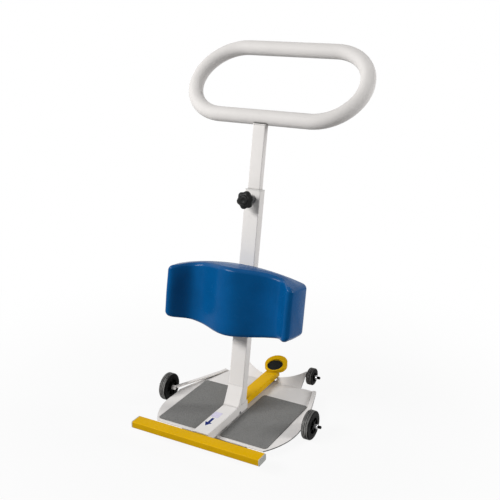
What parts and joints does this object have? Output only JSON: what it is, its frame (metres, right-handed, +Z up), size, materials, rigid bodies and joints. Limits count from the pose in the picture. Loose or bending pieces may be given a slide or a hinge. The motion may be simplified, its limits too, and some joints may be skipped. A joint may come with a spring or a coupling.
{
  "type": "patient turner",
  "caption": "Standing patient turner: round turntable base with foot pads and wheels, knee pad, leaning column with a hand ring, and a yellow front bar on a slide with a foot pedal.",
  "frame": {"origin": "on the turntable axis at floor level", "axes": "+Z up, +Y to the helper's side where the column leans, +X to the right in the front view"},
  "size_m": [0.5922, 0.6216, 1.0907],
  "materials": {
    "frame_white": "semi-gloss powder coat",
    "bright_steel": "turned",
    "dark_screws": "blackened",
    "bronze": "machined",
    "black_rubber": "matte",
    "grit_grey": "fine grit",
    "pad_blue": "satin moulded skin",
    "black_plastic": "fine texture",
    "pale_plastic": "moulded",
    "yellow_paint": "gloss powder coat"
  },
  "bodies": {
    "floor_base": {"floor_grip": "black_rubber", "floor_disc": "frame_white", "lower_race": "bright_steel", "centre_pin": "bright_steel", "pin_clip": "dark_screws"},
    "turning_base": {"bearing_plate": "bright_steel", "centre_bush": "bronze", "base_plate": "frame_white", "wheel_strut_left": "frame_white", "wheel_strut_right": "frame_white", "foot_pad_left": "grit_grey", "foot_pad_right": "grit_grey", "beam": "frame_white", "guide_front": "pale_plastic", "guide_back": "pale_plastic", "guide_screws": "dark_screws", "column": "frame_white", "gusset": "frame_white", "column_sleeve": "pale_plastic", "clamp_boss": "dark_screws", "pad_plate": "frame_white", "pad_bolts": "dark_screws", "knee_pad": "pad_blue", "axle_eye_left": "frame_white", "axle_eye_right": "frame_white", "side_axle_left": "bright_steel", "side_axle_right": "bright_steel", "rear_block_left": "frame_white", "rear_block_right": "frame_white", "rear_axle_left": "bright_steel", "rear_axle_right": "bright_steel", "axle_collars": "bright_steel", "axle_caps": "black_plastic"},
    "handle": {"mast": "frame_white", "mast_glide": "pale_plastic", "hand_ring": "frame_white"},
    "clamp_screw": {"clamp_knob": "black_plastic", "clamp_stud": "bright_steel"},
    "front_slide": {"front_bar": "yellow_paint", "bar_cap_left": "pale_plastic", "bar_cap_right": "pale_plastic", "slide_tube": "yellow_paint", "slide_plug": "black_plastic", "pedal_cup": "yellow_paint", "pedal_rubber": "black_rubber"},
    "side_wheel_left": {"side_tyre_left": "black_rubber", "side_hub_left": "black_plastic"},
    "side_wheel_right": {"side_tyre_right": "black_rubber", "side_hub_right": "black_plastic"},
    "rear_wheel_left": {"rear_tyre_left": "black_rubber", "rear_hub_left": "black_plastic"},
    "rear_wheel_right": {"rear_tyre_right": "black_rubber", "rear_hub_right": "black_plastic"}
  },
  "joints": [
    {"name": "turntable", "type": "hinge", "parent": "floor_base", "child": "turning_base", "pos_m": [0, 0, 0.0265], "axis": [0, 0, 1], "continuous": true},
    {"name": "handle_height", "type": "slide", "parent": "turning_base", "child": "handle", "axis": [0, 0.1771, 0.9842], "range_m": [-0.16, 0.08]},
    {"name": "clamp_turn", "type": "hinge", "parent": "turning_base", "child": "clamp_screw", "pos_m": [0, 0.12792, 0.66502], "axis": [0, -0.9842, 0.1771], "continuous": true},
    {"name": "bar_reach", "type": "slide", "parent": "turning_base", "child": "front_slide", "axis": [0, -1, 0], "range_m": [0, 0.15]},
    {"name": "side_wheel_turn_left", "type": "hinge", "parent": "turning_base", "child": "side_wheel_left", "pos_m": [-0.2458, 0.032, 0.0444], "axis": [1, 0, 0], "continuous": true},
    {"name": "rear_wheel_turn_left", "type": "hinge", "parent": "turning_base", "child": "rear_wheel_left", "pos_m": [-0.1295, 0.29418, 0.05387], "axis": [1, 0, 0], "continuous": true},
    {"name": "side_wheel_turn_right", "type": "hinge", "parent": "turning_base", "child": "side_wheel_right", "pos_m": [0.2458, 0.032, 0.0444], "axis": [1, 0, 0], "continuous": true},
    {"name": "rear_wheel_turn_right", "type": "hinge", "parent": "turning_base", "child": "rear_wheel_right", "pos_m": [0.1295, 0.29418, 0.05387], "axis": [1, 0, 0], "continuous": true}
  ]
}
